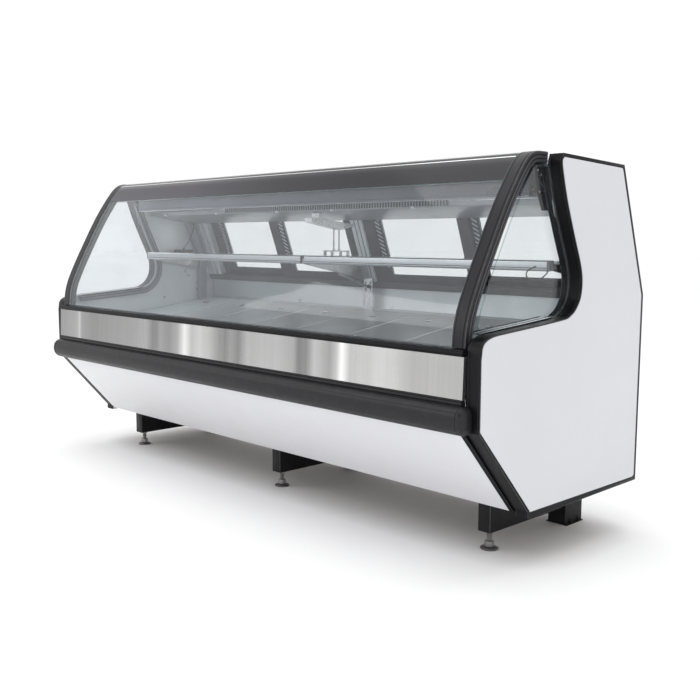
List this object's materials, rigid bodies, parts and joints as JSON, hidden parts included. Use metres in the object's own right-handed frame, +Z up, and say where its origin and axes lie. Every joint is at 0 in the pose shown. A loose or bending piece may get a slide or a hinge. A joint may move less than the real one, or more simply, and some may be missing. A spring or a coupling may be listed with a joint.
{
  "type": "refrigerated deli case",
  "caption": "Long refrigerated deli display case with lift-up front glass, sliding rear doors, glass shelves, lift-out deck pans and levelling feet.",
  "frame": {"origin": "on the floor, under the centre of the bounding box", "axes": "+X along the case towards the customer's right, +Y towards the server's side, +Z up"},
  "size_m": [2.512, 0.9266, 1.2568],
  "materials": {
    "liner": "satin stainless sheet",
    "black_plastic": "satin moulded black",
    "white_panel": "powder-coated light grey-white",
    "glass": "clear tempered glass",
    "stainless": "brushed",
    "black_profile": "satin black coated profile",
    "dark_band": "glossy dark grey",
    "door_frame": "satin dark grey",
    "aluminium": "satin anodised",
    "zinc_steel": "bright zinc",
    "black_steel": "black paint",
    "unit_paint": "black paint"
  },
  "bodies": {
    "case": {"insulated_tub": "liner", "end_body_left": "black_plastic", "end_body_right": "black_plastic", "side_skin_left": "white_panel", "side_skin_right": "white_panel", "side_glass_left": "glass", "side_glass_right": "glass", "front_fascia": "stainless", "glass_sill": "black_plastic", "bumper_rail": "black_plastic", "bumper_cap_left": "black_plastic", "bumper_cap_right": "black_plastic", "lower_front_panel": "white_panel", "rear_lower_panel": "white_panel", "base_pan": "zinc_steel", "canopy_top": "liner", "evaporator_coil": "aluminium", "drip_tray": "liner", "door_track_top": "door_frame", "door_track_bottom": "door_frame", "door_jamb_left": "aluminium", "door_mullion": "aluminium", "door_jamb_right": "aluminium", "shelf_left": "glass", "shelf_right": "glass", "shelf_lamp_left": "aluminium", "shelf_lamp_right": "aluminium", "shelf_bracket_left": "zinc_steel", "shelf_bracket_centre": "zinc_steel", "shelf_bracket_right": "black_profile", "canopy_stay": "zinc_steel", "leg_left": "black_steel", "leg_centre": "black_steel", "leg_right": "black_steel", "condensing_unit": "unit_paint"},
    "front_glass_lid": {"front_glass": "glass", "glass_top_band": "dark_band", "glass_frame_left": "black_profile", "glass_frame_right": "black_profile"},
    "rear_door_1": {"rear_door_1": "door_frame", "rear_door_glass_1": "glass"},
    "rear_door_2": {"rear_door_2": "door_frame", "rear_door_glass_2": "glass"},
    "rear_door_3": {"rear_door_3": "door_frame", "rear_door_glass_3": "glass"},
    "rear_door_4": {"rear_door_4": "door_frame", "rear_door_glass_4": "glass"},
    "deck_pan_1": {"deck_pan_1": "liner"},
    "deck_pan_2": {"deck_pan_2": "liner"},
    "deck_pan_3": {"deck_pan_3": "liner"},
    "deck_pan_4": {"deck_pan_4": "liner"},
    "deck_pan_5": {"deck_pan_5": "liner"},
    "deck_pan_6": {"deck_pan_6": "liner"},
    "deck_pan_7": {"deck_pan_7": "liner"},
    "deck_pan_8": {"deck_pan_8": "liner"},
    "levelling_foot_left": {"levelling_foot_left": "zinc_steel"},
    "levelling_foot_centre": {"levelling_foot_centre": "zinc_steel"},
    "levelling_foot_right": {"levelling_foot_right": "zinc_steel"},
    "condenser_fan": {"condenser_fan": "aluminium"},
    "light_switch": {"light_switch": "black_plastic"}
  },
  "joints": [
    {"name": "front_glass_lift", "type": "hinge", "parent": "case", "child": "front_glass_lid", "pos_m": [0, -0.00625, 1.16], "axis": [-1, 0, 0], "range_deg": [0, 54]},
    {"name": "rear_door_1_slide", "type": "slide", "parent": "case", "child": "rear_door_1", "axis": [1, 0, 0], "range_m": [0, 0.49]},
    {"name": "rear_door_2_slide", "type": "slide", "parent": "case", "child": "rear_door_2", "axis": [1, 0, 0], "range_m": [-0.49, 0]},
    {"name": "rear_door_3_slide", "type": "slide", "parent": "case", "child": "rear_door_3", "axis": [1, 0, 0], "range_m": [0, 0.49]},
    {"name": "rear_door_4_slide", "type": "slide", "parent": "case", "child": "rear_door_4", "axis": [1, 0, 0], "range_m": [-0.49, 0]},
    {"name": "deck_pan_1_lift", "type": "slide", "parent": "case", "child": "deck_pan_1", "axis": [0, 0, 1], "range_m": [0, 0.085]},
    {"name": "deck_pan_2_lift", "type": "slide", "parent": "case", "child": "deck_pan_2", "axis": [0, 0, 1], "range_m": [0, 0.085]},
    {"name": "deck_pan_3_lift", "type": "slide", "parent": "case", "child": "deck_pan_3", "axis": [0, 0, 1], "range_m": [0, 0.085]},
    {"name": "deck_pan_4_lift", "type": "slide", "parent": "case", "child": "deck_pan_4", "axis": [0, 0, 1], "range_m": [0, 0.085]},
    {"name": "deck_pan_5_lift", "type": "slide", "parent": "case", "child": "deck_pan_5", "axis": [0, 0, 1], "range_m": [0, 0.085]},
    {"name": "deck_pan_6_lift", "type": "slide", "parent": "case", "child": "deck_pan_6", "axis": [0, 0, 1], "range_m": [0, 0.085]},
    {"name": "deck_pan_7_lift", "type": "slide", "parent": "case", "child": "deck_pan_7", "axis": [0, 0, 1], "range_m": [0, 0.085]},
    {"name": "deck_pan_8_lift", "type": "slide", "parent": "case", "child": "deck_pan_8", "axis": [0, 0, 1], "range_m": [0, 0.085]},
    {"name": "levelling_foot_left_turn", "type": "hinge", "parent": "case", "child": "levelling_foot_left", "pos_m": [-1.0514, -0.09195, 0.02], "axis": [0, 0, 1], "continuous": true},
    {"name": "levelling_foot_centre_turn", "type": "hinge", "parent": "case", "child": "levelling_foot_centre", "pos_m": [0, -0.09195, 0.02], "axis": [0, 0, 1], "continuous": true},
    {"name": "levelling_foot_right_turn", "type": "hinge", "parent": "case", "child": "levelling_foot_right", "pos_m": [1.0514, -0.09195, 0.02], "axis": [0, 0, 1], "continuous": true},
    {"name": "condenser_fan_spin", "type": "hinge", "parent": "case", "child": "condenser_fan", "pos_m": [0.82, 0.24575, 0.3], "axis": [0, 1, 0], "continuous": true},
    {"name": "light_switch_rock", "type": "hinge", "parent": "case", "child": "light_switch", "pos_m": [-0.9, 0.45275, 0.4], "axis": [-1, 0, 0], "range_deg": [0, 16]}
  ]
}
